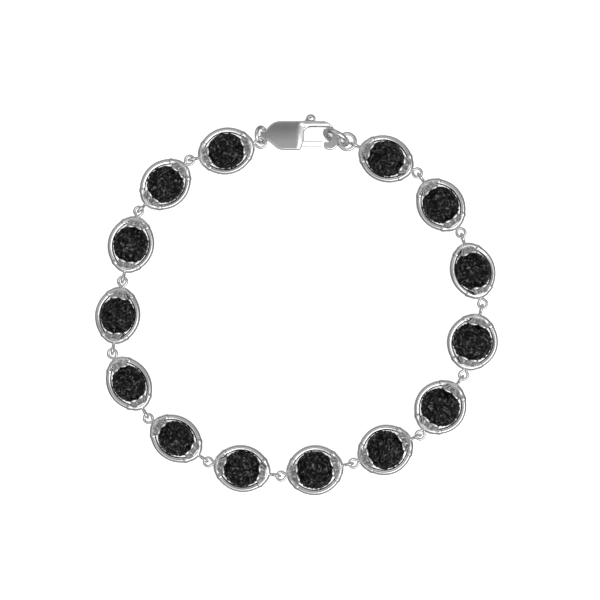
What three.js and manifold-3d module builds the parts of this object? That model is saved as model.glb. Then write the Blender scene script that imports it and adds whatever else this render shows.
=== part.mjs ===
// A bracelet of fourteen rudraksha beads in oval silver frames, lying closed on a flat surface.
// Each bead turns on a pin whose two eyes link it to its neighbours, and a lobster clasp closes
// the loop. Millimetres, +Z up, the surface is z = 0.
import * as THREE from 'three';
import { mergeVertices } from 'three/addons/utils/BufferGeometryUtils.js';
import Module from 'manifold-3d';

const wasm = await Module();
wasm.setup();

// Bead: an oval seed, drilled end to end. Every bead is as tall and long as the next.
const BEAD_RADIUS = 3.45;
const BEAD_HALF_LENGTH = 3.75;
const BEAD_FULLNESS = 2.0;
const BEAD_SIDES = 12;
const BORE_RADIUS = 0.45;

// Frame: an oval of heavy wire around the bead, pinched a little toward its ends.
const FRAME_HALF_LENGTH = 5.45;
const FRAME_PINCH = 0.1;
const BAR_WIDTH = 1.02;
const BAR_HEIGHT = 1.25;
const CUFF_PROUD = 0.12;
// Stations of the bar in a quarter of the oval, from its end to its side, in degrees.
const FRAME_STATIONS = [
  { angle: 0, cuff: true },
  { angle: 22, cuff: true },
  { angle: 42, cuff: true },
  { angle: 43, cuff: false },
  { angle: 66, cuff: false },
  { angle: 90, cuff: false },
];

// Caps: a cup of petals hugs each end of the bead, two petals above and two below.
const CAP_GAP = 0.15;
const CAP_SLIDE = 0.25;
const CAP_THICKNESS = 0.5;
const CAP_BACK = 4.4;
const PETAL_TIP = 3.05;
const PETAL_NOTCH = 3.62;
const CAP_CORNERS = [
  { turn: 33, petal: false },
  { turn: 67, petal: true },
  { turn: 90, petal: false },
  { turn: 113, petal: true },
  { turn: 147, petal: false },
  { turn: 213, petal: false },
  { turn: 247, petal: true },
  { turn: 270, petal: false },
  { turn: 293, petal: true },
  { turn: 327, petal: false },
];

// Pin: one wire through frame, caps and bead, turned into an eye at each end.
const WIRE_RADIUS = 0.25;
const WIRE_SIDES = 5;
const EYE_RADIUS = 0.8;
const EYE_STEPS = 10;
const EYE_REACH = 6.45;
const FIRST_EYE_RADIUS = 0.98;

// Clasp: a flat lobster clasp held level by its rings.
const CLASP_BASE = 1.15;
const CLASP_THICKNESS = 2.0;
const CLASP_BEVEL = 0.22;
const PIVOT = { x: 6.6, y: -0.9 };
const RIVET_RADIUS = 0.34;
const RIVET_LENGTH = 1.7;
const RIVET_GAP = 0.12;
const LEVER_THICKNESS = 0.8;
const SLOT_WIDTH = 1.1;
const NECK_HOLE = { x: 0.92, rise: 0.14, radius: 0.68 };

const JUMP_RING = { radius: 1.45, wire: 0.37, lean: 55, through: 0.98 };
const END_RING = { radius: 2.25, wire: 0.5, lean: 17, heading: -28, x: 14.22, y: -0.44 };
const LINK_RING = { radius: 1.5, wire: 0.34 };

// Where the first pin's near eye sits from the middle of the clasp's neck end.
const FIRST_EYE = { x: -0.13, y: -1.46 };
const CHAIN_START = { x: -7.1, y: 29.5 };

// heading: the way the unit points, in degrees anticlockwise from +X. roll: its frame's turn
// about that axis. frame: the frame's half width. width: the natural bead's width beside its
// height. pull: from the unit's far eye to the next near eye.
const UNITS = [
  { heading: 194, roll: -6, frame: 4.4, width: 0.95, pull: 0.62 },
  { heading: 225, roll: -7, frame: 4.43, width: 0.955, pull: 0.62 },
  { heading: 257, roll: -5, frame: 4.36, width: 0.935, pull: 0.62 },
  { heading: 262, roll: 2, frame: 4.28, width: 0.915, pull: 0.77 },
  { heading: 299, roll: -6, frame: 4.12, width: 0.87, pull: 1.0 },
  { heading: 324, roll: -3, frame: 4.22, width: 0.9, pull: 1.0 },
  { heading: 349, roll: 2, frame: 4.43, width: 0.955, pull: 1.0 },
  { heading: 10, roll: -3, frame: 4.7, width: 1.03, pull: 0.92 },
  { heading: 23, roll: -5, frame: 4.71, width: 1.03, pull: 0.63 },
  { heading: 54, roll: 0, frame: 4.85, width: 1.07, pull: 0.96 },
  { heading: 75, roll: 2, frame: 4.82, width: 1.06, pull: 1.0 },
  { heading: 107, roll: 9, frame: 4.36, width: 0.935, pull: 1.0 },
  { heading: 126, roll: -2, frame: 4.43, width: 0.955, pull: 1.0 },
  { heading: 156, roll: 2, frame: 4.37, width: 0.94, pull: 0 },
];

const silver = () => new THREE.MeshStandardMaterial({ color: 0xc9c9c9, roughness: 0.22, metalness: 1 });
const seed = () => new THREE.MeshStandardMaterial({ color: 0x0d0d0d, roughness: 0.7, metalness: 0 });
const radians = THREE.MathUtils.degToRad;

function toSolid(geometry) {
  const bare = geometry.clone();
  bare.deleteAttribute('normal');
  bare.deleteAttribute('uv');
  const merged = mergeVertices(bare, 1e-4);
  const vertProperties = new Float32Array(merged.attributes.position.array);
  const triVerts = new Uint32Array(merged.index.array);
  return new wasm.Manifold(new wasm.Mesh({ numProp: 3, vertProperties, triVerts }));
}

function toGeometry(solid) {
  const mesh = solid.getMesh();
  const geometry = new THREE.BufferGeometry();
  geometry.setAttribute('position', new THREE.BufferAttribute(mesh.vertProperties, 3));
  geometry.setIndex(new THREE.BufferAttribute(mesh.triVerts, 1));
  geometry.computeVertexNormals();
  return geometry;
}

function named(name, geometry, material) {
  const mesh = new THREE.Mesh(geometry, material);
  mesh.name = name;
  return mesh;
}

// A closed tube through rings of points: rings[i][k] is a Vector3, every ring with as many points.
function loftLoop(rings) {
  const count = rings[0].length;
  const positions = rings.flat().flatMap((point) => [point.x, point.y, point.z]);
  const index = [];
  rings.forEach((ring, i) => {
    const next = (i + 1) % rings.length;
    for (let k = 0; k < count; k += 1) {
      const side = (k + 1) % count;
      const [a, b] = [i * count + k, i * count + side];
      const [c, d] = [next * count + k, next * count + side];
      index.push(a, c, b, b, c, d);
    }
  });
  const geometry = new THREE.BufferGeometry();
  geometry.setAttribute('position', new THREE.Float32BufferAttribute(positions, 3));
  geometry.setIndex(index);
  return geometry;
}

function rod(radius, length, sides) {
  return new THREE.CylinderGeometry(radius, radius, length, sides).rotateZ(Math.PI / 2);
}

function ring(radius, wire, steps, sides = 6) {
  return new THREE.TorusGeometry(radius, wire, sides, steps);
}

function beadRadiusAt(x) {
  const along = Math.min(Math.abs(x) / BEAD_HALF_LENGTH, 1);
  return BEAD_RADIUS * Math.sqrt(1 - along ** BEAD_FULLNESS);
}

function beadGeometry(width) {
  const places = [-0.97, -0.62, 0, 0.62, 0.97].map((part) => part * BEAD_HALF_LENGTH);
  const outside = places.map((x) => new THREE.Vector2(beadRadiusAt(x), x));
  const bore = places.slice(-1).concat(places[0]).map((x) => new THREE.Vector2(BORE_RADIUS, x));
  const profile = [...outside, ...bore, outside[0].clone()];
  return new THREE.LatheGeometry(profile, BEAD_SIDES).rotateZ(-Math.PI / 2).scale(1, width, 1);
}

// The bar's cross-section, half-round outside and flatter inside, grown by `proud` at a cuff.
function barSection(proud) {
  const out = BAR_WIDTH / 2 + proud;
  const high = BAR_HEIGHT / 2 + proud;
  return [
    { across: out, up: 0 },
    { across: 0.3 * out, up: high },
    { across: -BAR_WIDTH / 2, up: 0.65 * high },
    { across: -BAR_WIDTH / 2, up: -0.65 * high },
    { across: 0.3 * out, up: -high },
  ];
}

function frameStation(angle, proud, halfWidth) {
  const long = FRAME_HALF_LENGTH - BAR_WIDTH / 2 - CUFF_PROUD;
  const wide = halfWidth - BAR_WIDTH / 2;
  const [cos, sin] = [Math.cos(angle), Math.sin(angle)];
  const centre = new THREE.Vector3(long * cos, wide * sin * (1 - FRAME_PINCH * cos ** 2), 0);
  const climb = wide * cos * (1 - FRAME_PINCH * (cos ** 2 - 2 * sin ** 2));
  const outward = new THREE.Vector3(climb, long * sin, 0).normalize();
  return barSection(proud).map(({ across, up }) =>
    centre.clone().addScaledVector(outward, across).setZ(up));
}

function frameGeometry(halfWidth) {
  const back = FRAME_STATIONS.slice(1, -1).reverse();
  const half = [...FRAME_STATIONS, ...back.map(({ angle, cuff }) => ({ angle: 180 - angle, cuff }))];
  const whole = [...half, ...half.map(({ angle, cuff }) => ({ angle: 180 + angle, cuff }))];
  return loftLoop(whole.map(({ angle, cuff }) =>
    frameStation(radians(angle), cuff ? CUFF_PROUD : 0, halfWidth)));
}

function capInside(x) {
  return beadRadiusAt(x - CAP_SLIDE) + CAP_GAP;
}

// One cup of petals around the bead's +X end.
function capGeometry() {
  const rings = CAP_CORNERS.map(({ turn, petal }) => {
    const rim = petal ? PETAL_TIP : PETAL_NOTCH;
    const halfway = (rim + CAP_BACK) / 2;
    const profile = [
      { x: CAP_BACK, r: 0.55 },
      { x: halfway, r: 0.55 * capInside(rim) + 0.45 * capInside(halfway) + CAP_THICKNESS },
      { x: rim, r: capInside(rim) },
    ];
    const [along, up] = [Math.cos(radians(turn)), Math.sin(radians(turn))];
    return profile.map(({ x, r }) => new THREE.Vector3(x, r * along, r * up));
  });
  return loftLoop(rings.reverse());
}

function settingGeometry(halfWidth, beadWidth) {
  const cap = toSolid(capGeometry().scale(1, beadWidth, 1));
  const hole = toSolid(rod(BORE_RADIUS, 4 * FRAME_HALF_LENGTH, 6));
  const caps = cap.add(cap.rotate([0, 0, 180]));
  return toGeometry(toSolid(frameGeometry(halfWidth)).add(caps).subtract(hole));
}

function pinGeometry(nearEyeRadius) {
  const nearReach = EYE_REACH + nearEyeRadius - EYE_RADIUS;
  const nearEye = ring(nearEyeRadius, WIRE_RADIUS, EYE_STEPS, WIRE_SIDES);
  const farEye = ring(EYE_RADIUS, WIRE_RADIUS, EYE_STEPS, WIRE_SIDES);
  farEye.rotateZ(Math.PI).rotateX(Math.PI / 2);
  const [start, end] = [EYE_RADIUS - EYE_REACH, EYE_REACH - EYE_RADIUS];
  const shaft = rod(WIRE_RADIUS, end - start, WIRE_SIDES).translate((start + end) / 2, 0, 0);
  return toGeometry(toSolid(shaft)
    .add(toSolid(nearEye.translate(-nearReach, 0, 0)))
    .add(toSolid(farEye.translate(EYE_REACH, 0, 0))));
}

// A bead in its setting on its pin. The bead lies on the surface and its frame is turned over it.
function unitGroup(number, { heading, roll, frame, width }, centre) {
  const label = String(number).padStart(2, '0');
  const group = new THREE.Group();
  group.position.set(centre.x, centre.y, BEAD_RADIUS);
  group.rotation.z = radians(heading);
  group.add(named(`bead_${label}`, beadGeometry(width), seed()));
  const setting = named(`setting_${label}`, settingGeometry(frame, width), silver());
  setting.rotation.x = radians(roll);
  group.add(setting);
  group.add(named(`pin_${label}`, pinGeometry(number === 1 ? FIRST_EYE_RADIUS : EYE_RADIUS), silver()));
  return group;
}

// Walks the chain from the clasp round to its other end and gives each unit's middle.
function layOut() {
  const eye = new THREE.Vector2(CHAIN_START.x, CHAIN_START.y);
  const middles = UNITS.map(({ heading, pull }) => {
    const along = new THREE.Vector2(1, 0).rotateAround(new THREE.Vector2(), radians(heading));
    const middle = eye.clone().addScaledVector(along, EYE_REACH);
    eye.addScaledVector(along, 2 * EYE_REACH + pull);
    return middle;
  });
  return { middles, lastEye: eye };
}

// Outline of the clasp's body seen from above: neck on the left, nose on the right.
function claspOutline() {
  const shape = new THREE.Shape();
  shape.moveTo(0, -0.78);
  shape.lineTo(0.9, -0.8);
  shape.bezierCurveTo(2.1, -1.0, 2.7, -2.65, 4.2, -2.7);
  shape.lineTo(7.2, -2.7);
  shape.quadraticCurveTo(7.6, -2.7, 7.65, -2.3);
  shape.lineTo(8.15, -1.0);
  shape.lineTo(8.15, 0.4);
  shape.quadraticCurveTo(8.25, 1.5, 9.4, 1.6);
  shape.lineTo(12.0, 1.6);
  shape.quadraticCurveTo(13.4, 1.5, 13.5, 0.1);
  shape.quadraticCurveTo(13.6, -1.2, 12.6, -1.3);
  shape.lineTo(11.95, -1.3);
  shape.lineTo(11.95, -2.2);
  shape.quadraticCurveTo(12.4, -2.75, 13.2, -2.7);
  shape.quadraticCurveTo(14.7, -2.5, 14.7, -0.9);
  shape.bezierCurveTo(14.5, 0.3, 13.5, 2.68, 11.65, 2.68);
  shape.lineTo(3.7, 2.68);
  shape.bezierCurveTo(2.3, 2.6, 1.7, 1.9, 0.95, 0.85);
  shape.lineTo(0, 0.78);
  return shape;
}

// The room between the clasp's two side plates, in which the lever turns.
function slotOutline() {
  const shape = new THREE.Shape();
  shape.moveTo(5.4, -2.35);
  shape.lineTo(8.5, -2.35);
  shape.lineTo(8.5, 1.2);
  shape.lineTo(10.5, 1.2);
  shape.lineTo(10.5, 3.2);
  shape.lineTo(5.6, 3.2);
  return shape;
}

// The bell-crank lever: gate to the right, thumb knob up through the spine.
function leverOutline() {
  const shape = new THREE.Shape();
  shape.moveTo(5.9, -1.6);
  shape.quadraticCurveTo(6.2, -2.15, 7.2, -2.15);
  shape.lineTo(11.63, -2.15);
  shape.lineTo(11.75, -1.1);
  shape.lineTo(8.3, -1.1);
  shape.quadraticCurveTo(7.5, -0.9, 7.8, 0.3);
  shape.quadraticCurveTo(8.2, 1.9, 10.2, 2.6);
  shape.quadraticCurveTo(10.6, 3.3, 10.1, 3.8);
  shape.quadraticCurveTo(9.3, 4.3, 8.7, 3.6);
  shape.quadraticCurveTo(8.5, 2.8, 7.6, 2.1);
  shape.quadraticCurveTo(6.6, 1.2, 6.2, -0.1);
  shape.quadraticCurveTo(5.6, -0.7, 5.9, -1.6);
  const hole = new THREE.Path();
  hole.absarc(PIVOT.x, PIVOT.y, RIVET_RADIUS + RIVET_GAP, 0, 2 * Math.PI, true);
  shape.holes.push(hole);
  return shape;
}

function plate(shape, thickness, bevel, curveSegments) {
  return new THREE.ExtrudeGeometry(shape, {
    depth: thickness - 2 * bevel,
    bevelEnabled: bevel > 0,
    bevelThickness: bevel,
    bevelSize: bevel,
    bevelOffset: -bevel,
    bevelSegments: 1,
    curveSegments,
  }).translate(0, 0, bevel - thickness / 2);
}

// The lever's rivet, or the hole for it, upright through the pivot.
function rivetCylinder(radius, length) {
  return new THREE.CylinderGeometry(radius, radius, length, 12)
    .rotateX(Math.PI / 2).translate(PIVOT.x, PIVOT.y, 0);
}

function claspBodyGeometry() {
  const slot = toSolid(plate(slotOutline(), SLOT_WIDTH, 0, 1));
  const rivetHole = toSolid(rivetCylinder(RIVET_RADIUS + RIVET_GAP, RIVET_LENGTH));
  const neckHole = toSolid(new THREE.CylinderGeometry(NECK_HOLE.radius, NECK_HOLE.radius, 6, 10)
    .translate(NECK_HOLE.x, 0, NECK_HOLE.rise));
  return toGeometry(toSolid(plate(claspOutline(), CLASP_THICKNESS, CLASP_BEVEL, 4))
    .subtract(slot).subtract(rivetHole).subtract(neckHole));
}

// The ring through the neck leans back over the first bead's eye.
function jumpRing() {
  const { radius, wire, lean, through } = JUMP_RING;
  const mesh = named('clasp_jump_ring', ring(radius, wire, 14), silver());
  mesh.rotation.y = radians(lean);
  mesh.position.set(through - radius * Math.cos(radians(lean)), 0, radius * Math.sin(radians(lean)));
  return mesh;
}

function claspGroup(origin) {
  const group = new THREE.Group();
  group.position.set(origin.x, origin.y, CLASP_BASE + CLASP_THICKNESS / 2);
  group.add(named('clasp_body', claspBodyGeometry(), silver()));
  group.add(named('clasp_lever', plate(leverOutline(), LEVER_THICKNESS, 0.1, 3), silver()));
  group.add(named('clasp_rivet', rivetCylinder(RIVET_RADIUS, RIVET_LENGTH - 0.15), silver()));
  group.add(jumpRing());
  return group;
}

// The fat ring that the nose hooks into stands on the surface, leaning a little.
function endRing(claspOrigin) {
  const { radius, wire, lean, heading, x, y } = END_RING;
  const mesh = named('end_ring', ring(radius, wire, 16), silver());
  mesh.rotation.x = radians(90 - lean);
  const turned = new THREE.Group();
  turned.rotation.z = radians(heading);
  turned.position.set(claspOrigin.x + x, claspOrigin.y + y, radius * Math.cos(radians(lean)) + wire);
  turned.add(mesh);
  return turned;
}

function linkRing(lastEye) {
  const { radius, wire } = LINK_RING;
  const { heading } = UNITS.at(-1);
  const mesh = named('link_ring', ring(radius, wire, 12), silver());
  const reach = new THREE.Vector2(radius, 0).rotateAround(new THREE.Vector2(), radians(heading));
  mesh.position.set(lastEye.x + reach.x, lastEye.y + reach.y, BEAD_RADIUS);
  return mesh;
}

function braceletGroup() {
  const group = new THREE.Group();
  const { middles, lastEye } = layOut();
  UNITS.forEach((unit, i) => group.add(unitGroup(i + 1, unit, middles[i])));
  const claspOrigin = { x: CHAIN_START.x - FIRST_EYE.x, y: CHAIN_START.y - FIRST_EYE.y };
  group.add(claspGroup(claspOrigin));
  group.add(endRing(claspOrigin));
  group.add(linkRing(lastEye));
  return group;
}

// The origin is the middle of the bracelet's outline, on the surface that it lies on.
const bracelet = braceletGroup();
const outline = new THREE.Box3().setFromObject(bracelet, true);
const middle = outline.getCenter(new THREE.Vector3());
bracelet.position.set(-middle.x, -middle.y, -outline.min.z);

export default bracelet;
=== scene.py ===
"""Looks of the rudraksha bead bracelet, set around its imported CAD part.

The seeds get their bumps and furrows, the settings their petals and cuffs, and the clasp its
crowned front.
"""

import math

import bpy
import numpy as np
from mathutils import Matrix, Vector, geometry, noise


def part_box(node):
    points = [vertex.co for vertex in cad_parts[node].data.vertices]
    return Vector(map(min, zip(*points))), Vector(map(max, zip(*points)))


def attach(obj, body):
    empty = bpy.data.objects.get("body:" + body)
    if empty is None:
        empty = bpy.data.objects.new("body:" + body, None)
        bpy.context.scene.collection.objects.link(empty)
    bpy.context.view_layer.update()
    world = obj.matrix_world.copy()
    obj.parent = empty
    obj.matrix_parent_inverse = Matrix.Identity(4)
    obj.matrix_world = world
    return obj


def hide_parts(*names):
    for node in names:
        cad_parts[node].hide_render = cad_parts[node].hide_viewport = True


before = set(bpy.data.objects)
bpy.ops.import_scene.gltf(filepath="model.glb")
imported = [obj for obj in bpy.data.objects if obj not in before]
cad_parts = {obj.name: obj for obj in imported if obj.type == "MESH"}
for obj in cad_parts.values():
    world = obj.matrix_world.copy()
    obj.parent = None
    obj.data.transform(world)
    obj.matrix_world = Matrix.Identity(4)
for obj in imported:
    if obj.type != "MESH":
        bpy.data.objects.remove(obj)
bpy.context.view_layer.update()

MM = 0.001

# The noise module takes its offsets from the clock unless it is seeded.
NOISE_SEED = 1

# The chain. heading: degrees anticlockwise from +X. roll: the frame's turn about that axis.
# frame: the frame's half width in mm. width: the seed's and the caps' width beside their height.
UNITS = [
    {"heading": 194, "roll": -6, "frame": 4.40, "width": 1.015},
    {"heading": 225, "roll": -7, "frame": 4.43, "width": 1.020},
    {"heading": 257, "roll": -5, "frame": 4.36, "width": 1.000},
    {"heading": 262, "roll": 2, "frame": 4.28, "width": 0.980},
    {"heading": 299, "roll": -6, "frame": 4.12, "width": 0.930},
    {"heading": 324, "roll": -3, "frame": 4.22, "width": 0.960},
    {"heading": 349, "roll": 2, "frame": 4.43, "width": 1.020},
    {"heading": 10, "roll": -3, "frame": 4.70, "width": 1.095},
    {"heading": 23, "roll": -5, "frame": 4.71, "width": 1.100},
    {"heading": 54, "roll": 0, "frame": 4.85, "width": 1.135},
    {"heading": 75, "roll": 2, "frame": 4.82, "width": 1.125},
    {"heading": 107, "roll": 9, "frame": 4.36, "width": 1.000},
    {"heading": 126, "roll": -2, "frame": 4.43, "width": 1.020},
    {"heading": 156, "roll": 2, "frame": 4.37, "width": 1.005},
]

# Seed: an oval along X, drilled from end to end. With a fullness of 2 it is a plain ellipse.
# BORE_ROWS: where the bore's two rows of points are, as shares of the half length.
SEED_RADIUS = 3.45
SEED_HALF_LENGTH = 3.75
SEED_FULLNESS = 2.0
BORE_RADIUS = 0.45
BORE_ROWS = (0.5, -0.5)
SEED_ROWS = 96
SEED_COLUMNS = 132

# Seed relief, in mm: warped bumps with veins over them, fine grain, and clefts from end to end.
# SEED_SHIFT: how far each seed lies in the noise from the one before it.
SEED_SHIFT = (17.3, 5.9, -11.7)
WARP = 0.4
WARP_PITCH = 1.3
BUMP_PITCH = 0.85
BUMP_EDGE = 0.5
VEIN_PITCH = 0.85
VEIN_WIDTH = 0.12
VEIN_SHARE = 0.5
FURROW_DEPTH = 0.32
GRAIN_PITCH = 0.28
GRAIN_DEPTH = 0.07
CLEFTS = 5
CLEFT_WIDTH = 0.16
CLEFT_DEPTH = 0.2
CLEFT_WANDER = 0.16
CLEFT_WANDER_PITCH = 1.6
RELIEF_FADE = 0.5

# Painted highlight on the seed: on its bumps, on the veins over them, and the share that a cleft
# takes away as painted shade.
BUMP_HIGHLIGHT = 0.1
VEIN_HIGHLIGHT = 0.9
CLEFT_SHADE = 0.8

# Frame: an oval of heavy wire in the XY plane, pinched a little toward its ends.
FRAME_HALF_LENGTH = 5.45
FRAME_PINCH = 0.1
BAR_WIDTH = 1.06
BAR_HEIGHT = 1.25
BAR_STEPS = 2

# Cuffs, which stand proud of the bar by CUFF_PROUD less CUFF_EASE, and by their swells. They end
# in a step with a line of painted shade beside it. Angles are in degrees from the frame's nearer
# end.
CUFF_PROUD = 0.12
CUFF_EASE = 0.04
CUFF_END = 42.0
CUFF_STEP = {"before": 0.7, "after": 0.5}
CUFF_SWELLS = [
    {"angle": 37.5, "spread": 3.0, "height": 0.05},
    {"angle": 28.0, "spread": 5.0, "height": -0.05},
]
CUFF_STEP_PAINTED_SHADE = {"beyond": 0.7, "spread": 1.1, "dark": 0.5}

# Where the bar has points: along the cuff, close together at its step, and along the plain bar.
CUFF_SPACING = 4.0
STEP_ANGLES = [34, 36, 38, 39.5, 40.7, 41.3, 41.6, 42.0, 42.4, 42.6, 43.2, 44.5]
BAR_START = 47.0
BAR_SPACING = 4.3

# Caps: a cup of four petals over each end of the seed, with a small point between two petals.
# Turns are degrees round X from the frame's plane. Tip, notch and back are places along X. A cap
# gets painted shade where less of a petal or point is left than its notch limits say, and toward
# its back.
CAP_GAP = 0.15
CAP_SLIDE = 0.25
CAP_BACK = 4.4
CAP_HOLE = 0.55
CAP_COLUMNS = 144
CAP_STEPS = 3
PETAL_TIP = 2.95
PETAL_TURN = 67.0
PETAL_HALF_TURN = 22.0
PETAL_THICKNESS = 0.62
NOTCH = 3.75
NOTCH_THICKNESS = 0.2
POINT_TURN = 90.0
POINT_HALF_TURN = 9.0
POINT_REACH = 0.25
POINT_THICKNESS = 0.1
NOTCH_PAINTED_SHADE = {"from": 0.1, "to": 0.7}
BACK_PAINTED_SHADE = {"from": 0.3, "to": 0.05, "dark": 0.3}

# Pins. EYE_NECK: the wire back from its eye, measured from the frame's end and off the pin's axis.
WIRE_RADIUS = 0.27
SHAFT_HALF_LENGTH = 5.2
SHAFT_SIDES = 12
EYE_RADIUS = 0.8
FIRST_EYE_RADIUS = 0.98
EYE_REACH = 6.45
EYE_OPENING = 148
EYE_STEPS = 44
EYE_SIDES = 14
EYE_SMOOTHING = 2
EYE_NECK = [
    {"along": 0.08, "off": 0.20},
    {"along": -0.08, "off": 0.16},
    {"along": -0.30, "off": 0.14},
    {"along": -0.70, "off": 0.12},
]

# Clasp: X runs from its neck to its nose, Y toward its thumb knob and Z up from its mid height.
CLASP_THICKNESS = 2.0
CLASP_TOP = 2.68
CLASP_BEVEL = 0.22
CLASP_SPACING = 0.22
CROWN = {"drop": 0.15, "half_width": 2.7, "power": 2.2}
WINDOW = {"left": 8.15, "top": 1.6}
DISH = {"depth": 0.33, "reach": 1.6, "start": 5.5, "full": 7.0}
NECK_HOLE = {"x": 0.92, "rise": 0.14, "radius": 0.68, "length": 4}
SLOT_WIDTH = 1.1
SLOT = [(5.4, -2.35), (8.5, -2.35), (8.5, 1.2), (10.5, 1.2), (10.5, 3.2), (5.6, 3.2)]

# Lever, in the clasp's own frame.
LEVER_THICKNESS = 0.8
LEVER_BEVEL = 0.14
LEVER_SPACING = 0.3
PIVOT = {"x": 6.6, "y": -0.9, "radius": 0.46, "length": 2}
GATE = {"edge": -1.1, "width": 1.05, "slope": 0.23, "start": 6.6, "full": 7.6}
KNOB = {"x": 9.47, "y": 3.27, "along": 0.9, "across": 0.76, "up": 0.62}
KNOB_ROWS = 20
KNOB_COLUMNS = 32
KNOB_POLE = 0.06

# Plates and outlines. EDGE: a rounded edge's rows, as shares of its bevel.
OUTLINE_SPACING = 0.1
CURVE_STEPS = 24
EDGE = [
    {"inward": 0.00, "up": 0.00},
    {"inward": 0.08, "up": 0.38},
    {"inward": 0.29, "up": 0.71},
    {"inward": 0.62, "up": 0.92},
]
FILL_MARGIN = 0.6
FILL_PRECISION = 1e-6
ROD_SIDES = 40

# Rings, each with its turns about the axes, in degrees and in this order.
RINGS = [
    {"name": "neck_ring", "node": "clasp_jump_ring", "radius": 1.45, "wire": 0.37,
     "turns": [("Y", 55)]},
    {"name": "hook_ring", "node": "end_ring", "radius": 2.25, "wire": 0.50,
     "turns": [("Z", -28), ("X", 73)]},
    {"name": "small_ring", "node": "link_ring", "radius": 1.50, "wire": 0.34,
     "turns": []},
]
RING_STEPS = 96
RING_SIDES = 28

# Edges between faces that turn by more than this many degrees are drawn sharp.
CLASP_SHARP = 35
LEVER_SHARP = 40
SETTING_SHARP = 50

# A noise texture seldom leaves this range, so it is spread from here.
NOISE_RANGE = {"low": 0.3, "high": 0.7}

# Camera, in mm but for its near limit in metres. It looks straight down on a square field of this
# width, at the height of the beads' axes.
FIELD = 112.5
CAMERA_AIM = (0.68, 0.78, 3.45)
LENS = 120.0
SENSOR = 36.0
CAMERA_NEAR = 0.01

# Floor, in metres. It glows a little, so that it stays pale, and it isn't mirrored in the silver.
FLOOR_REACH = 3.0
FLOOR_DROP = 0.00002
FLOOR_GREY = 0.9
FLOOR_ROUGHNESS = 0.9
FLOOR_GLOW = 0.55

# Studio: its greys by direction, from behind (0) to its front (1), times the grey of each height,
# from straight below (0) over the horizon (0.5) to overhead (1).
STUDIO_FRONT = (0.3, -0.8, 0.35)
STUDIO_GREYS = [
    {"at": 0.00, "grey": 0.42},
    {"at": 0.40, "grey": 0.32},
    {"at": 0.61, "grey": 0.19},
    {"at": 0.70, "grey": 0.40},
]
STUDIO_HEIGHTS = [
    {"at": 0.00, "grey": 1.20},
    {"at": 0.35, "grey": 0.75},
    {"at": 0.47, "grey": 0.50},
    {"at": 0.58, "grey": 0.52},
    {"at": 0.75, "grey": 0.95},
    {"at": 0.90, "grey": 2.60},
    {"at": 0.98, "grey": 1.00},
]

# Soft square lamps, in metres. direction: where a lamp hangs from the bracelet. mirrored: whether
# the silver shows the lamp itself.
LAMPS = [
    {"name": "key", "direction": (0.395, -0.395, 0.829), "distance": 0.7, "size": 0.6,
     "radiance": 1.15, "mirrored": True},
    {"name": "overhead", "direction": (0, 0, 1), "distance": 0.8, "size": 1.2,
     "radiance": 1.5, "mirrored": False},
]


# ---------------------------------------------------------------- mesh helpers


def quads(rows, columns, closed=True):
    """Faces over a grid of points, row by row. Closed, its last row meets its first."""
    faces = []
    for i in range(rows if closed else rows - 1):
        j = (i + 1) % rows
        for k in range(columns):
            m = (k + 1) % columns
            faces.append((i * columns + k, j * columns + k, j * columns + m, i * columns + m))
    return faces


def rod_faces(rows, columns):
    """Faces over a grid of points whose first and last rows are each closed by one face."""
    last = (rows - 1) * columns
    ends = [tuple(reversed(range(columns))), tuple(range(last, last + columns))]
    return quads(rows, columns, closed=False) + ends


def outward(points, faces):
    """The same shell with its faces turned outward."""
    points = np.asarray(points, float).reshape(-1, 3)
    volume = 0.0
    for face in faces:
        corner = points[list(face)]
        for k in range(1, len(face) - 1):
            volume += float(np.dot(corner[0], np.cross(corner[k], corner[k + 1])))
    return points, faces if volume > 0 else [tuple(reversed(face)) for face in faces]


def shell_mesh(name, shells):
    """One mesh, in mm, from several (points, faces) shells."""
    points, faces, start = [], [], 0
    for shell_points, shell_faces in shells:
        points.append(shell_points)
        faces.extend(tuple(v + start for v in face) for face in shell_faces)
        start += len(shell_points)
    mesh = bpy.data.meshes.new(name)
    mesh.from_pydata(np.concatenate(points).tolist(), [], faces)
    mesh.update()
    return mesh


def mark_points(mesh, name, values):
    """Keeps a value for each point of a mesh, for its material to read."""
    mesh.attributes.new(name, "FLOAT", "POINT").data.foreach_set("value", values)


def add_piece(name, mesh, place, material, node, body="bracelet",
              sharp=None):
    """Puts a mesh in mm at its place as a shown piece that stands for a CAD node."""
    mesh.transform(place @ Matrix.Scale(MM, 4))
    mesh.materials.append(material)
    mesh.shade_smooth()
    if sharp is not None:
        mesh.set_sharp_from_angle(angle=math.radians(sharp))
    piece = bpy.data.objects.new(name, mesh)
    bpy.context.scene.collection.objects.link(piece)
    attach(piece, body)
    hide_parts(node)


def boolean(mesh, other, operation):
    """mesh with another mesh cut from it or added to it."""
    base = bpy.data.objects.new("boolean_base", mesh)
    tool = bpy.data.objects.new("boolean_tool", other)
    for item in (base, tool):
        bpy.context.scene.collection.objects.link(item)
    modifier = base.modifiers.new("boolean", "BOOLEAN")
    modifier.object = tool
    modifier.operation = operation
    modifier.solver = "EXACT"
    bpy.context.view_layer.update()
    evaluated = base.evaluated_get(bpy.context.evaluated_depsgraph_get())
    result = bpy.data.meshes.new_from_object(evaluated)
    for item in (base, tool):
        bpy.data.objects.remove(item)
    return result


def smooth_step(value, low, high):
    """0 below low, 1 above high, and an even ease between them."""
    part = np.clip((np.asarray(value, float) - low) / (high - low), 0, 1)
    return part * part * (3 - 2 * part)


def hump(value, centre, spread):
    """1 at the centre, and less to either side of it."""
    return math.exp(-(((value - centre) / spread) ** 2))


def middle(node):
    """The middle of a CAD node's box."""
    low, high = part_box(node)
    return (low + high) / 2


def rounded(path, times):
    """A closed path, eased by setting each point between its neighbours."""
    for _ in range(times):
        path = (np.roll(path, 1, 0) + 2 * path + np.roll(path, -1, 0)) / 4
    return path


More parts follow.
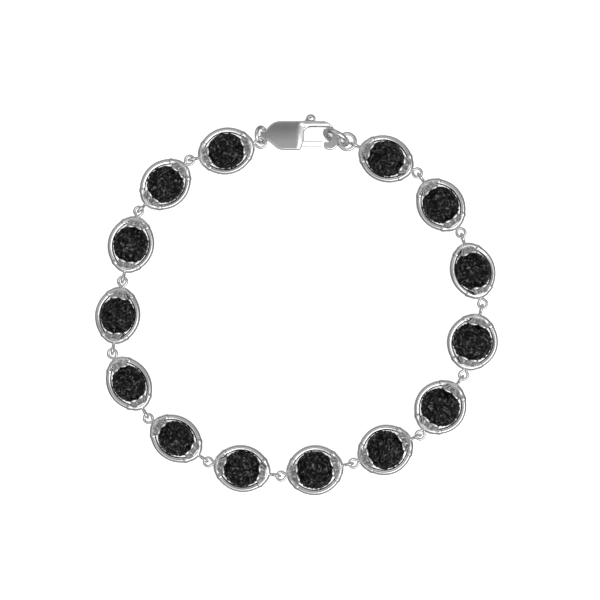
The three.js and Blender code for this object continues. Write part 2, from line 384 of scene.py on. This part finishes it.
def wire(path, normal, radius, sides, closed=True):
    """A round wire along a path that lies in a plane with this normal."""
    path, normal = np.asarray(path, float), np.asarray(normal, float)
    if closed:
        tangent = np.roll(path, -1, 0) - np.roll(path, 1, 0)
    else:
        tangent = np.gradient(path, axis=0)
    tangent /= np.linalg.norm(tangent, axis=1)[:, None]
    side = np.cross(tangent, normal)
    turn = np.linspace(0, 2 * math.pi, sides, endpoint=False)
    around = np.cos(turn)[None, :, None] * side[:, None, :] + np.sin(turn)[None, :, None] * normal
    points = path[:, None, :] + radius * around
    return outward(points, quads(len(path), sides) if closed else rod_faces(len(path), sides))


def ring_mesh(name, radius, thickness):
    """A ring of round wire, flat in the XY plane."""
    turn = np.linspace(0, 2 * math.pi, RING_STEPS, endpoint=False)
    path = np.stack([radius * np.cos(turn), radius * np.sin(turn), 0 * turn], axis=1)
    return shell_mesh(name, [wire(path, (0, 0, 1), thickness, RING_SIDES)])


def rod_mesh(name, radius, length, axis, centre):
    """A plain rod, used to cut holes. axis is 0, 1 or 2."""
    half = np.zeros(3)
    half[axis] = length / 2
    normal = np.zeros(3)
    normal[(axis + 1) % 3] = 1
    path = np.array([centre - half, centre + half])
    return shell_mesh(name, [wire(path, normal, radius, ROD_SIDES, closed=False)])


# ---------------------------------------------------------------- materials


def grey(level):
    return (level, level, level, 1)


def node_material(name, metallic):
    """A new material of nodes, with its tree and its shader."""
    material = bpy.data.materials.new(name)
    material.use_nodes = True
    tree = material.node_tree
    shader = tree.nodes["Principled BSDF"]
    shader.inputs["Metallic"].default_value = metallic
    return material, tree, shader


def texture(tree, scale, detail):
    """A noise over the object, scale in features per metre."""
    place = tree.nodes.new("ShaderNodeTexCoord")
    noise_node = tree.nodes.new("ShaderNodeTexNoise")
    noise_node.inputs["Scale"].default_value = scale
    noise_node.inputs["Detail"].default_value = detail
    tree.links.new(place.outputs["Object"], noise_node.inputs["Vector"])
    return noise_node.outputs["Fac"]


def uneven_gloss(tree, shader, height, low, high):
    """Spreads the roughness between two values by a noise."""
    node = tree.nodes.new("ShaderNodeMapRange")
    node.inputs["From Min"].default_value = NOISE_RANGE["low"]
    node.inputs["From Max"].default_value = NOISE_RANGE["high"]
    node.inputs["To Min"].default_value = low
    node.inputs["To Max"].default_value = high
    tree.links.new(height, node.inputs["Value"])
    tree.links.new(node.outputs["Result"], shader.inputs["Roughness"])


def bump(tree, shader, height, strength, distance):
    """Roughens the surface by a noise, distance in metres."""
    node = tree.nodes.new("ShaderNodeBump")
    node.inputs["Strength"].default_value = strength
    node.inputs["Distance"].default_value = distance
    tree.links.new(height, node.inputs["Height"])
    tree.links.new(node.outputs["Normal"], shader.inputs["Normal"])


def shaded_by_mark(tree, shader, mark, none, full):
    """Mixes the colour between two greys by a value that each point of the mesh holds."""
    marked = tree.nodes.new("ShaderNodeAttribute")
    marked.attribute_name = mark
    mix = tree.nodes.new("ShaderNodeMix")
    mix.data_type = "RGBA"
    mix.inputs["A"].default_value = grey(none)
    mix.inputs["B"].default_value = grey(full)
    tree.links.new(marked.outputs["Fac"], mix.inputs["Factor"])
    tree.links.new(mix.outputs["Result"], shader.inputs["Base Color"])


def silver_material():
    """Polished silver whose gloss and surface vary a little from place to place."""
    material, tree, shader = node_material("polished_silver", metallic=1.0)
    shader.inputs["Base Color"].default_value = grey(0.84)
    uneven_gloss(tree, shader, texture(tree, scale=700, detail=2), low=0.1, high=0.18)
    bump(tree, shader, texture(tree, scale=1400, detail=3), strength=0.35, distance=0.000008)
    return material


def cast_silver_material():
    """Silver of the cast settings: bright, with painted shade in the caps' notches, toward their
    backs and beside the cuffs' steps.
    """
    material, tree, shader = node_material("cast_silver", metallic=1.0)
    # Painted shade: the per-point mark darkens the silver where shade would fall.
    shaded_by_mark(tree, shader, "painted_shade", none=0.93, full=0.07)
    uneven_gloss(tree, shader, texture(tree, scale=900, detail=3), low=0.12, high=0.22)
    bump(tree, shader, texture(tree, scale=1300, detail=3), strength=0.4, distance=0.00003)
    return material


def seed_material():
    """Blackened seed: near black in the furrows, with a painted highlight that makes the bumps and
    veins lighter, and painted shade in the clefts.
    """
    material, tree, shader = node_material("black_seed", metallic=0.0)
    shader.inputs["Specular IOR Level"].default_value = 0.08
    # Painted highlight on the bumps and veins, and painted shade in the clefts, from the per-point
    # mark.
    shaded_by_mark(tree, shader, "painted_highlight", none=0.0015, full=0.15)
    uneven_gloss(tree, shader, texture(tree, scale=1500, detail=3), low=0.3, high=0.5)
    bump(tree, shader, texture(tree, scale=4200, detail=4), strength=0.7, distance=0.00012)
    return material


# ---------------------------------------------------------------- seeds


def seed_radius_at(x):
    along = np.minimum(np.abs(x) / SEED_HALF_LENGTH, 1)
    return SEED_RADIUS * np.sqrt(1 - along**SEED_FULLNESS)


def seed_relief(spot, shift):
    """The rough surface at a spot: its height and painted highlight, each 0 to 1, and its grain."""
    spot = spot + shift
    bent = spot + WARP * noise.noise_vector(spot / WARP_PITCH)
    near = noise.voronoi(bent / BUMP_PITCH)[0]
    bump_high = min((near[1] - near[0]) / BUMP_EDGE, 1.0)
    vein_high = max(0.0, 1 - abs(noise.noise(bent / VEIN_PITCH)) / VEIN_WIDTH)
    bump_high *= 2 - bump_high
    high = (1 - VEIN_SHARE) * bump_high + VEIN_SHARE * vein_high
    # Painted highlight: a little on the bumps, most on the veins that cross them.
    ridge_highlight = BUMP_HIGHLIGHT * bump_high**2 + VEIN_HIGHLIGHT * vein_high * bump_high
    return high, ridge_highlight, noise.noise(spot / GRAIN_PITCH)


def cleft_at(angle, x, radius, shift):
    """How deep, from 0 to 1, the wandering clefts are that run from one end to the other."""
    wander = CLEFT_WANDER * noise.noise(Vector((x / CLEFT_WANDER_PITCH, shift.x, 0.0)))
    between = 2 * math.pi / CLEFTS
    off = (angle + wander + shift.y) % between
    return hump(min(off, between - off) * radius, 0, CLEFT_WIDTH)


def seed_point(x, radius, angle, fade, shift):
    """A point of the seed's rough outside, and the painted highlight there."""
    cos, sin = math.cos(angle), math.sin(angle)
    spot = Vector((x, radius * cos, radius * sin))
    out = Vector((
        x / SEED_HALF_LENGTH**2,
        radius * cos / SEED_RADIUS**2,
        radius * sin / SEED_RADIUS**2,
    ))
    out.normalize()
    high, ridge_highlight, grain = seed_relief(spot, shift)
    cleft = cleft_at(angle, x, radius, shift)
    low = FURROW_DEPTH * (1 - high) + GRAIN_DEPTH * (0.5 - 0.5 * grain) + CLEFT_DEPTH * cleft
    # A cleft keeps part of the painted highlight away, as painted shade.
    return spot - out * (low * fade), ridge_highlight * (1 - CLEFT_SHADE * cleft)


def seed_shell(number):
    """The seed's outside from end to end, the bore back through it, and each point's painted
    highlight.
    """
    shift = Vector(SEED_SHIFT) * number
    start = math.acos((1 - (BORE_RADIUS / SEED_RADIUS) ** 2) ** (1 / SEED_FULLNESS))
    turn = np.linspace(0, 2 * math.pi, SEED_COLUMNS, endpoint=False)
    points, painted_highlight = [], []
    for slope in np.linspace(start, math.pi - start, SEED_ROWS):
        x = -SEED_HALF_LENGTH * math.cos(slope)
        radius = float(seed_radius_at(x))
        fade = float(smooth_step(SEED_HALF_LENGTH - abs(x), 0.0, RELIEF_FADE))
        for angle in turn:
            point, ridge_highlight = seed_point(x, radius, angle, fade, shift)
            points.append(tuple(point))
            painted_highlight.append(ridge_highlight)
    for share in BORE_ROWS:
        for angle in turn:
            bore = (BORE_RADIUS * math.cos(angle), BORE_RADIUS * math.sin(angle))
            points.append((SEED_HALF_LENGTH * share, *bore))
            painted_highlight.append(0.0)
    faces = quads(SEED_ROWS + len(BORE_ROWS), SEED_COLUMNS)
    return outward(np.array(points), faces), painted_highlight


def seed_mesh(number, width):
    (points, faces), painted_highlight = seed_shell(number)
    mesh = shell_mesh(f"seed_{number:02d}", [(points * (1, width, 1), faces)])
    # Each point's painted highlight, for the seed's material to read.
    mark_points(mesh, "painted_highlight", painted_highlight)
    return mesh


# ---------------------------------------------------------------- settings


def spline(controls, steps):
    """A closed Catmull-Rom curve through the control points."""
    here = np.asarray(controls, float)
    before, after, beyond = (np.roll(here, shift, 0) for shift in (1, -1, -2))
    curve = []
    for k in range(steps):
        t = k / steps
        square = (2 * before - 5 * here + 4 * after - beyond) * t**2
        cube = (3 * here - before - 3 * after + beyond) * t**3
        curve.append(0.5 * (2 * here + (after - before) * t + square + cube))
    return np.stack(curve, axis=1).reshape(-1, here.shape[1])


def bar_section(proud):
    """The bar's cross-section: a long outer slope, a crest, and a gentle slope toward the seed."""
    out, inner, high = BAR_WIDTH / 2 + proud, BAR_WIDTH / 2, BAR_HEIGHT / 2 + proud
    upper = [
        (0.86 * out, 0.45 * high),
        (0.5 * out, 0.85 * high),
        (0.08 * out, high),
        (-0.5 * inner, 0.92 * high),
        (-0.9 * inner, 0.76 * high),
        (-inner, 0.5 * high),
    ]
    lower = [(across, -up) for across, up in reversed(upper)]
    return spline([(out, 0), *upper, (-inner, 0), *lower], BAR_STEPS).T


def cuff_at(angle):
    """How far the bar stands proud at this angle, in degrees from the frame's nearer end."""
    swell = sum(row["height"] * hump(angle, row["angle"], row["spread"]) for row in CUFF_SWELLS)
    step = smooth_step(angle, CUFF_END - CUFF_STEP["before"], CUFF_END + CUFF_STEP["after"])
    return (CUFF_PROUD - CUFF_EASE + swell) * (1 - float(step))


def frame_angles():
    """Angles round the oval, in degrees, closer together at each cuff's stepped end."""
    cuff = np.arange(0, STEP_ANGLES[0], CUFF_SPACING)
    quarter = [*cuff, *STEP_ANGLES, *np.arange(BAR_START, 90.0, BAR_SPACING)]
    half = quarter + [90.0] + [180 - angle for angle in reversed(quarter[1:])]
    return half + [180 + angle for angle in half]


def frame_station(degrees, half_width):
    """The bar's middle at an angle round the oval, and the way outward from there."""
    long = FRAME_HALF_LENGTH - BAR_WIDTH / 2 - CUFF_PROUD
    wide = half_width - BAR_WIDTH / 2
    cos, sin = math.cos(math.radians(degrees)), math.sin(math.radians(degrees))
    centre = np.array([long * cos, wide * sin * (1 - FRAME_PINCH * cos**2)])
    out = np.array([wide * cos * (1 - FRAME_PINCH * (cos**2 - 2 * sin**2)), long * sin])
    return centre, out / np.linalg.norm(out)


def frame_shell(half_width):
    """The oval of heavy wire with its cuffs, and the painted shade at each of its points."""
    points, painted_shade = [], []
    for degrees in frame_angles():
        from_end = abs((degrees + 90) % 180 - 90)
        across, up = bar_section(cuff_at(from_end))
        centre, out = frame_station(degrees, half_width)
        points.append(np.column_stack([centre + across[:, None] * out, up]))
        # Painted shade in a line just beyond each cuff's step.
        step_shade = hump(from_end - CUFF_END, CUFF_STEP_PAINTED_SHADE["beyond"], CUFF_STEP_PAINTED_SHADE["spread"])
        painted_shade.extend([CUFF_STEP_PAINTED_SHADE["dark"] * step_shade] * len(across))
    return outward(np.concatenate(points), quads(len(points), len(points[0]))), painted_shade


def petal_at(turn):
    """How much of a petal there is at a turn round the cap: 0 in a notch, 1 on a petal's middle."""
    quarter = abs((turn + 90) % 180 - 90)
    off = (quarter - PETAL_TURN) / PETAL_HALF_TURN
    return math.sqrt(max(0.0, 1 - off * off))


def point_at(turn):
    """How much there is, from 0 to 1, of the small point in the notch between two petals."""
    return max(0.0, 1 - abs(turn % 180 - POINT_TURN) / POINT_HALF_TURN)


def cap_inside(x):
    """The cap's inner radius over the seed."""
    return float(seed_radius_at(x - CAP_SLIDE)) + CAP_GAP


def cap_profile(turn):
    """The cap's closed cross-section at a turn: (x, r) points from the back over the petal."""
    petal, point = petal_at(turn), point_at(turn)
    rim = NOTCH - (NOTCH - PETAL_TIP) * petal - POINT_REACH * point
    thick = NOTCH_THICKNESS + (PETAL_THICKNESS - NOTCH_THICKNESS) * petal + POINT_THICKNESS * point
    halfway = (rim + CAP_BACK) / 2
    inside, under = cap_inside(rim), cap_inside(halfway)
    over = 0.55 * inside + 0.45 * under + thick
    return [
        (CAP_BACK, CAP_HOLE),
        (CAP_BACK + 0.02, 0.7 * over),
        (halfway + 0.2, over - 0.22),
        (halfway - 0.1, over + 0.1),
        (rim + 0.22, inside + 0.75 * thick),
        (rim + 0.02, inside + 0.35 * thick),
        (rim + 0.06, inside + 0.05),
        (halfway, under),
        (CAP_BACK - 0.35, CAP_HOLE + 0.07),
    ]


def cap_shell():
    """One cup of petals round the seed's +X end, and the painted shade at each of its points."""
    rows, painted_shade = [], []
    for turn in np.linspace(0, 360, CAP_COLUMNS, endpoint=False):
        x, radius = spline(cap_profile(turn), CAP_STEPS).T
        angle = math.radians(turn)
        rows.append(np.column_stack([x, radius * math.cos(angle), radius * math.sin(angle)]))
        metal = petal_at(turn) + point_at(turn)
        # Painted shade in the notches between petals, and less of it toward the back where the cap
        # meets the frame.
        notch = 1 - smooth_step(metal, NOTCH_PAINTED_SHADE["from"], NOTCH_PAINTED_SHADE["to"])
        back = smooth_step(x, CAP_BACK - BACK_PAINTED_SHADE["from"], CAP_BACK - BACK_PAINTED_SHADE["to"])
        painted_shade.extend(np.maximum(notch, BACK_PAINTED_SHADE["dark"] * back).tolist())
    return outward(np.concatenate(rows), quads(len(rows), len(rows[0]))), painted_shade


def setting_mesh(name, half_width, seed_width):
    """The frame and its two caps, the far one turned half round."""
    oval, oval_painted_shade = frame_shell(half_width)
    (cap_points, cap_faces), cap_painted_shade = cap_shell()
    cap_points = cap_points * (1, seed_width, 1)
    far_cap = (cap_points * (-1, -1, 1), cap_faces)
    mesh = shell_mesh(name, [oval, (cap_points, cap_faces), far_cap])
    # Painted shade of the frame and both caps, for the cast silver to read.
    mark_points(mesh, "painted_shade", oval_painted_shade + cap_painted_shade + cap_painted_shade)
    return mesh


# ---------------------------------------------------------------- pins


def eye_path(radius):
    """A wire eye whose neck points toward -X, drawn in the XY plane round its own middle."""
    turn = np.radians(np.linspace(-EYE_OPENING, EYE_OPENING, EYE_STEPS))
    circle = np.column_stack([radius * np.cos(turn), radius * np.sin(turn)])
    frame_end = FRAME_HALF_LENGTH - EYE_REACH
    back = np.array([(frame_end + row["along"], row["off"]) for row in EYE_NECK])
    loop = np.concatenate([circle, back, back[::-1] * (1, -1)])
    return rounded(np.column_stack([loop, np.zeros(len(loop))]), EYE_SMOOTHING)


def pin_mesh(name, near_radius):
    """The pin: its shaft, a flat eye toward -X and an upright eye toward +X."""
    shaft_path = [(-SHAFT_HALF_LENGTH, 0, 0), (0, 0, 0), (SHAFT_HALF_LENGTH, 0, 0)]
    near_reach = EYE_REACH + near_radius - EYE_RADIUS
    near_path = eye_path(near_radius) * (-1, 1, 1) - (near_reach, 0, 0)
    far_path = eye_path(EYE_RADIUS)[:, [0, 2, 1]] + (EYE_REACH, 0, 0)
    return shell_mesh(name, [
        wire(shaft_path, (0, 0, 1), WIRE_RADIUS, SHAFT_SIDES, closed=False),
        wire(near_path, (0, 0, 1), WIRE_RADIUS, EYE_SIDES),
        wire(far_path, (0, 1, 0), WIRE_RADIUS, EYE_SIDES),
    ])


def add_chain(silver, cast, seed):
    for number, unit in enumerate(UNITS, start=1):
        bead, oval, eyes = f"bead_{number:02d}", f"oval_{number:02d}", f"eyes_{number:02d}"
        heading = Matrix.Rotation(math.radians(unit["heading"]), 4, "Z")
        roll = Matrix.Rotation(math.radians(unit["roll"]), 4, "X")
        level = Matrix.Translation(middle(bead)) @ heading
        near_radius = FIRST_EYE_RADIUS if number == 1 else EYE_RADIUS
        add_piece(f"seed_{number:02d}", seed_mesh(number, unit["width"]), level, seed, bead)
        add_piece(oval, setting_mesh(oval, unit["frame"], unit["width"]), level @ roll, cast,
                  f"setting_{number:02d}", sharp=SETTING_SHARP)
        add_piece(eyes, pin_mesh(eyes, near_radius), level, silver, f"pin_{number:02d}")


# ---------------------------------------------------------------- clasp


def bent_line(start, bends):
    """A closed outline: each bend is a line's end, or a curve's one or two controls and its end."""
    points, here = [], np.array(start, float)
    share = np.linspace(0, 1, CURVE_STEPS, endpoint=False)[:, None]
    for bend in bends:
        controls = [here] + [np.array(p, float) for p in bend]
        order = len(controls) - 1
        points.append(sum(
            math.comb(order, k) * (1 - share) ** (order - k) * share**k * controls[k]
            for k in range(order + 1)
        ))
        here = controls[-1]
    return np.concatenate(points)


def evenly(outline, smoothing):
    """The closed outline with points an even distance apart and its corners eased."""
    closed = np.vstack([outline, outline[:1]])
    steps = np.linalg.norm(np.diff(closed, axis=0), axis=1)
    length = np.concatenate([[0], np.cumsum(steps)])
    count = int(length[-1] / OUTLINE_SPACING)
    at = np.linspace(0, length[-1], count, endpoint=False)
    even = np.column_stack([np.interp(at, length, closed[:, k]) for k in range(2)])
    return rounded(even, smoothing)


def anticlockwise(outline):
    """The outline, turned round if it runs clockwise."""
    x, y = outline.T
    area = np.sum(x * np.roll(y, -1) - np.roll(x, -1) * y)
    return outline if area > 0 else outline[::-1]


def inset(outline, distance):
    """The outline moved inward. It runs anticlockwise."""
    along = np.roll(outline, -1, 0) - np.roll(outline, 1, 0)
    along /= np.linalg.norm(along, axis=1)[:, None]
    inward = np.column_stack([-along[:, 1], along[:, 0]])
    return outline + distance * inward


def is_inside(ring, x, y):
    """Whether a line from the point toward +X crosses the ring an odd number of times."""
    (ax, ay), (bx, by) = ring.T, np.roll(ring, -1, 0).T
    crosses = (ay > y) != (by > y)
    at = ax + (y - ay) * (bx - ax) / np.where(by == ay, 1, by - ay)
    return bool(np.sum(crosses & (x < at)) % 2)


def face_fill(ring, spacing):
    """Triangles that fill a ring, with points inside so that the face can be crowned."""
    low, high = ring.min(0) + spacing / 2, ring.max(0)
    margin = FILL_MARGIN * spacing
    inside = [
        (x, y)
        for x in np.arange(low[0], high[0], spacing)
        for y in np.arange(low[1], high[1], spacing)
        if is_inside(ring, x, y) and np.min(np.hypot(*(ring - (x, y)).T)) > margin
    ]
    corners = [Vector(p) for p in ring.tolist() + inside]
    loop = list(range(len(ring)))
    found = geometry.delaunay_2d_cdt(corners, [], [loop], 1, FILL_PRECISION)
    return np.array([tuple(v) for v in found[0]]), [tuple(f) for f in found[2]]


def edge_rings(outline, half, bevel):
    """The rings of a rounded edge round a plate's front, from its wall inward."""
    return [
        np.column_stack([
            inset(outline, row["inward"] * bevel),
            np.full(len(outline), half - bevel + row["up"] * bevel),
        ])
        for row in EDGE
    ]


def plate_mesh(name, outline, thickness, bevel, crown, spacing):
    """A plate with rounded edges. crown(x, y) lowers its front, and its back stays flat."""
    outline = anticlockwise(outline)
    half, count = thickness / 2, len(outline)
    upper = edge_rings(outline, half, bevel)
    walls = [ring * (1, 1, -1) for ring in reversed(upper)] + upper
    front, front_faces = face_fill(inset(outline, bevel), spacing)
    top = len(walls) * count
    bottom = top + len(front)
    last = top - count
    points = np.concatenate([
        *walls,
        np.column_stack([front, np.full(len(front), half)]),
        np.column_stack([front, np.full(len(front), -half)]),
    ])
    faces = quads(len(walls), count, closed=False)
    for k in range(count):
        m = (k + 1) % count
        faces.append((last + k, top + k, top + m, last + m))
        faces.append((k, m, bottom + m, bottom + k))
    faces.extend(tuple(top + v for v in face) for face in front_faces)
    faces.extend(tuple(bottom + v for v in reversed(face)) for face in front_faces)
    points[:, 2] -= crown(points[:, 0], points[:, 1]) * np.clip(points[:, 2] / half, 0, 1)
    return shell_mesh(name, [outward(points, faces)])


def clasp_outline():
    """The clasp's body seen from above: neck on the left, nose on the right."""
    return evenly(bent_line((0, -0.78), [
        [(0.9, -0.8)],
        [(2.1, -1.0), (2.7, -2.65), (4.2, -2.7)],
        [(7.2, -2.7)],
        [(7.6, -2.7), (7.65, -2.3)],
        [(8.15, -1.0)],
        [(8.15, 0.4)],
        [(8.25, 1.5), (9.4, 1.6)],
        [(12.0, 1.6)],
        [(13.4, 1.5), (13.5, 0.1)],
        [(13.6, -1.2), (12.6, -1.3)],
        [(11.95, -1.3)],
        [(11.95, -2.2)],
        [(12.4, -2.75), (13.2, -2.7)],
        [(14.7, -2.5), (14.7, -0.9)],
        [(14.5, 0.3), (13.5, 2.68), (11.65, 2.68)],
        [(3.7, 2.68)],
        [(2.3, 2.6), (1.7, 1.9), (0.95, 0.85)],
        [(0, 0.78)],
        [(0, -0.78)],
    ]), smoothing=3)


def clasp_crown(x, y):
    """How far the front lies below its highest line: rounded across, and dished at the window."""
    across = CROWN["drop"] * np.abs(y / CROWN["half_width"]) ** CROWN["power"]
    left, over = WINDOW["left"] - x, y - WINDOW["top"]
    beside = np.hypot(np.maximum(left, 0), np.maximum(over, 0))
    near = np.maximum(1 - beside / DISH["reach"], 0) ** 2
    return across + DISH["depth"] * near * smooth_step(x, DISH["start"], DISH["full"])


def lever_outline():
    """The bell-crank lever: gate to the right, thumb stem up through the spine."""
    return evenly(bent_line((5.9, -1.6), [
        [(6.2, -2.15), (7.2, -2.15)],
        [(11.63, -2.15)],
        [(11.75, -1.1)],
        [(8.3, -1.1)],
        [(7.5, -0.9), (7.8, 0.3)],
        [(8.2, 1.9), (10.2, 2.6)],
        [(10.6, 3.3), (10.1, 3.8)],
        [(9.3, 4.3), (8.7, 3.6)],
        [(8.5, 2.8), (7.6, 2.1)],
        [(6.6, 1.2), (6.2, -0.1)],
        [(5.6, -0.7), (5.9, -1.6)],
    ]), smoothing=2)


def gate_slope(x, y):
    """How far the lever's front lies below its top: the gate slopes down to its outer edge."""
    out = np.clip(GATE["edge"] - y, 0, GATE["width"])
    return GATE["slope"] * out * smooth_step(x, GATE["start"], GATE["full"])


def slot_mesh():
    """The slot that the lever lies in, as a block that is cut from the body."""
    count = len(SLOT)
    heights = [np.full(count, side * SLOT_WIDTH / 2) for side in (-1, 1)]
    points = np.concatenate([np.column_stack([SLOT, height]) for height in heights])
    return shell_mesh("slot", [outward(points, rod_faces(2, count))])


def knob_mesh():
    """The round thumb knob at the lever's top."""
    points = [
        (
            KNOB["x"] + KNOB["along"] * math.sin(t) * math.cos(a),
            KNOB["y"] + KNOB["across"] * math.sin(t) * math.sin(a),
            KNOB["up"] * math.cos(t),
        )
        for t in np.linspace(KNOB_POLE, math.pi - KNOB_POLE, KNOB_ROWS)
        for a in np.linspace(0, 2 * math.pi, KNOB_COLUMNS, endpoint=False)
    ]
    return shell_mesh("knob", [outward(points, rod_faces(KNOB_ROWS, KNOB_COLUMNS))])


def body_mesh():
    """The clasp's body with the lever's slot and the neck's hole."""
    plate = plate_mesh("clasp_shell", clasp_outline(), CLASP_THICKNESS, CLASP_BEVEL, clasp_crown,
                       CLASP_SPACING)
    centre = np.array([NECK_HOLE["x"], 0, NECK_HOLE["rise"]])
    hole = rod_mesh("neck_hole", NECK_HOLE["radius"], NECK_HOLE["length"], 1, centre)
    return boolean(boolean(plate, slot_mesh(), "DIFFERENCE"), hole, "DIFFERENCE")


def lever_mesh():
    """The lever with its rivet's hole and its thumb knob."""
    plate = plate_mesh("clasp_gate_lever", lever_outline(), LEVER_THICKNESS, LEVER_BEVEL,
                       gate_slope, LEVER_SPACING)
    centre = np.array([PIVOT["x"], PIVOT["y"], 0])
    hole = rod_mesh("pivot_hole", PIVOT["radius"], PIVOT["length"], 2, centre)
    return boolean(boolean(plate, hole, "DIFFERENCE"), knob_mesh(), "UNION")


def add_clasp(silver):
    low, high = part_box("clasp_body")
    place = Matrix.Translation((low.x, high.y - CLASP_TOP * MM, (low.z + high.z) / 2))
    add_piece("clasp_shell", body_mesh(), place, silver, "clasp_body", sharp=CLASP_SHARP)
    add_piece("clasp_gate_lever", lever_mesh(), place, silver, "clasp_lever", body="lever",
              sharp=LEVER_SHARP)


def add_rings(silver):
    for ring in RINGS:
        place = Matrix.Translation(middle(ring["node"]))
        for axis, degrees in ring["turns"]:
            place = place @ Matrix.Rotation(math.radians(degrees), 4, axis)
        mesh = ring_mesh(ring["name"], ring["radius"], ring["wire"])
        add_piece(ring["name"], mesh, place, silver, ring["node"])


# ---------------------------------------------------------------- studio


def add_floor():
    material, _, shader = node_material("pale_floor", metallic=0.0)
    shader.inputs["Base Color"].default_value = grey(FLOOR_GREY)
    shader.inputs["Roughness"].default_value = FLOOR_ROUGHNESS
    shader.inputs["Specular IOR Level"].default_value = 0.0
    shader.inputs["Emission Color"].default_value = grey(1)
    shader.inputs["Emission Strength"].default_value = FLOOR_GLOW
    mesh = bpy.data.meshes.new("floor")
    reach = FLOOR_REACH
    corners = [(-reach, -reach, 0), (reach, -reach, 0), (reach, reach, 0), (-reach, reach, 0)]
    mesh.from_pydata(corners, [], [(0, 1, 2, 3)])
    mesh.materials.append(material)
    floor = bpy.data.objects.new("floor", mesh)
    floor.location.z = -FLOOR_DROP
    floor.visible_glossy = False
    bpy.context.scene.collection.objects.link(floor)


def add_lamp(name, direction, distance, size, radiance, mirrored):
    """A soft square lamp that looks at the bracelet from the given direction."""
    lamp = bpy.data.lights.new(name, "AREA")
    lamp.shape = "SQUARE"
    lamp.size = size
    lamp.energy = radiance * math.pi * size * size
    light = bpy.data.objects.new(name, lamp)
    away = Vector(direction).normalized()
    light.location = away * distance
    light.rotation_euler = away.to_track_quat("Z", "Y").to_euler()
    light.visible_glossy = mirrored
    bpy.context.scene.collection.objects.link(light)


def studio_ramp(tree, place, axis, levels):
    """Greys spread along an axis of the studio, from its far side (0) to its near side (1)."""
    toward = tree.nodes.new("ShaderNodeVectorMath")
    toward.operation = "DOT_PRODUCT"
    toward.inputs[1].default_value = Vector(axis).normalized()
    span = tree.nodes.new("ShaderNodeMapRange")
    span.inputs["From Min"].default_value = -1.0
    span.inputs["From Max"].default_value = 1.0
    ramp = tree.nodes.new("ShaderNodeValToRGB")
    tree.links.new(place.outputs["Generated"], toward.inputs[0])
    tree.links.new(toward.outputs["Value"], span.inputs["Value"])
    tree.links.new(span.outputs["Result"], ramp.inputs["Fac"])
    elements = ramp.color_ramp.elements
    elements[0].position = levels[0]["at"]
    elements[1].position = levels[-1]["at"]
    for row in levels[1:-1]:
        elements.new(row["at"])
    for element, row in zip(elements, levels):
        element.color = grey(row["grey"])
    return ramp.outputs["Color"]


def add_world():
    """A grey studio with a dark band across its middle, dim at the horizon and bright high up."""
    world = bpy.data.worlds.new("studio")
    bpy.context.scene.world = world
    world.use_nodes = True
    tree = world.node_tree
    place = tree.nodes.new("ShaderNodeTexCoord")
    greys = studio_ramp(tree, place, STUDIO_FRONT, STUDIO_GREYS)
    heights = studio_ramp(tree, place, (0, 0, 1), STUDIO_HEIGHTS)
    both = tree.nodes.new("ShaderNodeVectorMath")
    both.operation = "MULTIPLY"
    tree.links.new(greys, both.inputs[0])
    tree.links.new(heights, both.inputs[1])
    tree.links.new(both.outputs["Vector"], tree.nodes["Background"].inputs["Color"])
    tree.nodes["Background"].inputs["Strength"].default_value = 1.0


def add_camera():
    camera = bpy.data.cameras.new("camera")
    camera.lens = LENS
    camera.sensor_width = SENSOR
    camera.clip_start = CAMERA_NEAR
    height = FIELD * LENS / SENSOR
    view = bpy.data.objects.new("camera", camera)
    x, y, z = CAMERA_AIM
    view.location = (x * MM, y * MM, (z + height) * MM)
    bpy.context.scene.collection.objects.link(view)
    bpy.context.scene.camera = view


noise.seed_set(NOISE_SEED)
silver = silver_material()
cast = cast_silver_material()
seed = seed_material()

add_chain(silver, cast, seed)
add_clasp(silver)
add_rings(silver)
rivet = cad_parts["clasp_rivet"]
rivet.data.materials.clear()
rivet.data.materials.append(silver)

add_floor()
for lamp in LAMPS:
    add_lamp(**lamp)
add_world()
add_camera()
bpy.context.scene.view_settings.view_transform = "Standard"
